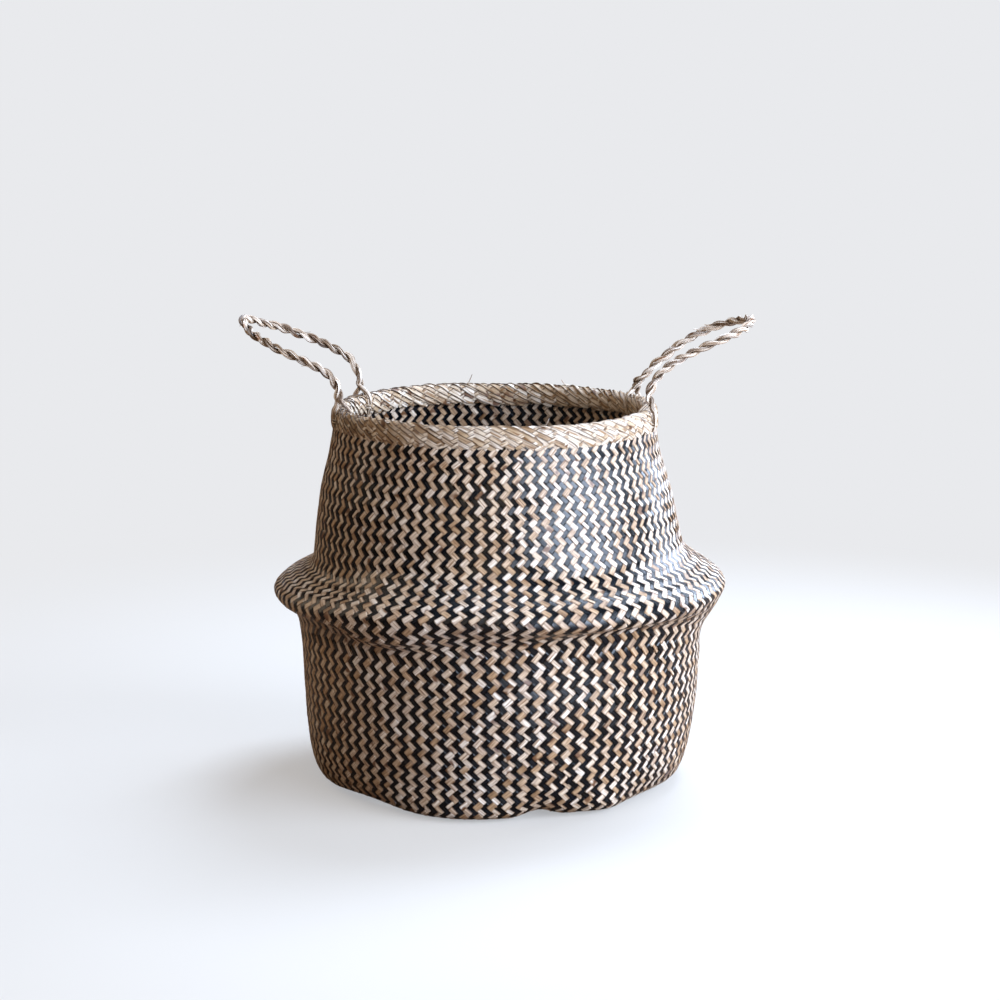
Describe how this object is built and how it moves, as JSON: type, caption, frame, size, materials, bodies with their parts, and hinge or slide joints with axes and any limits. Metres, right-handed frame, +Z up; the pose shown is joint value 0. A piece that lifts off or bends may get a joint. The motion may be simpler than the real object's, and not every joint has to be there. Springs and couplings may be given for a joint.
{
  "type": "belly basket",
  "caption": "Plaited seagrass belly basket with a folded belly, lapped rim and twisted rope loop handles; the neck pushes down into the belly.",
  "frame": {"origin": "centre of the base's underside, on the floor", "axes": "+Z up through the mouth, +X towards the right handle as the picture shows it, -Y towards the camera"},
  "size_m": [0.4541, 0.4, 0.4071],
  "materials": {
    "seagrass_plait": "matte",
    "seagrass_natural": "matte",
    "seagrass_rope": "matte"
  },
  "bodies": {
    "basket_body": {"base_panel": "seagrass_plait", "base_corner": "seagrass_plait", "lower_wall": "seagrass_plait", "fold_underside": "seagrass_plait", "neck_wall": "seagrass_plait"},
    "rim": {"rim_core": "seagrass_natural", "rim_outer_band": "seagrass_natural", "rim_inner_band": "seagrass_natural", "rope_tail_left_front": "seagrass_rope", "rope_tail_left_back": "seagrass_rope", "rope_tail_right_front": "seagrass_rope", "rope_tail_right_back": "seagrass_rope", "root_lashing_left_front": "seagrass_natural", "root_lashing_left_back": "seagrass_natural", "root_lashing_right_front": "seagrass_natural", "root_lashing_right_back": "seagrass_natural"},
    "handle_left": {"rope_handle_left": "seagrass_rope"},
    "handle_right": {"rope_handle_right": "seagrass_rope"}
  },
  "joints": [
    {"name": "neck_fold", "type": "slide", "parent": "basket_body", "child": "rim", "axis": [0, 0, 1], "range_m": [-0.1, 0], "deforming": ["neck_wall"]},
    {"name": "handle_left_tilt", "type": "hinge", "parent": "rim", "child": "handle_left", "pos_m": [-0.13024, 0.0183, 0.3373], "axis": [-0.1392, -0.9903, 0], "range_deg": [-90, 75]},
    {"name": "handle_right_tilt", "type": "hinge", "parent": "rim", "child": "handle_right", "pos_m": [0.12893, 0.00788, 0.3373], "axis": [-0.061, 0.9981, 0], "range_deg": [-90, 75]}
  ]
}
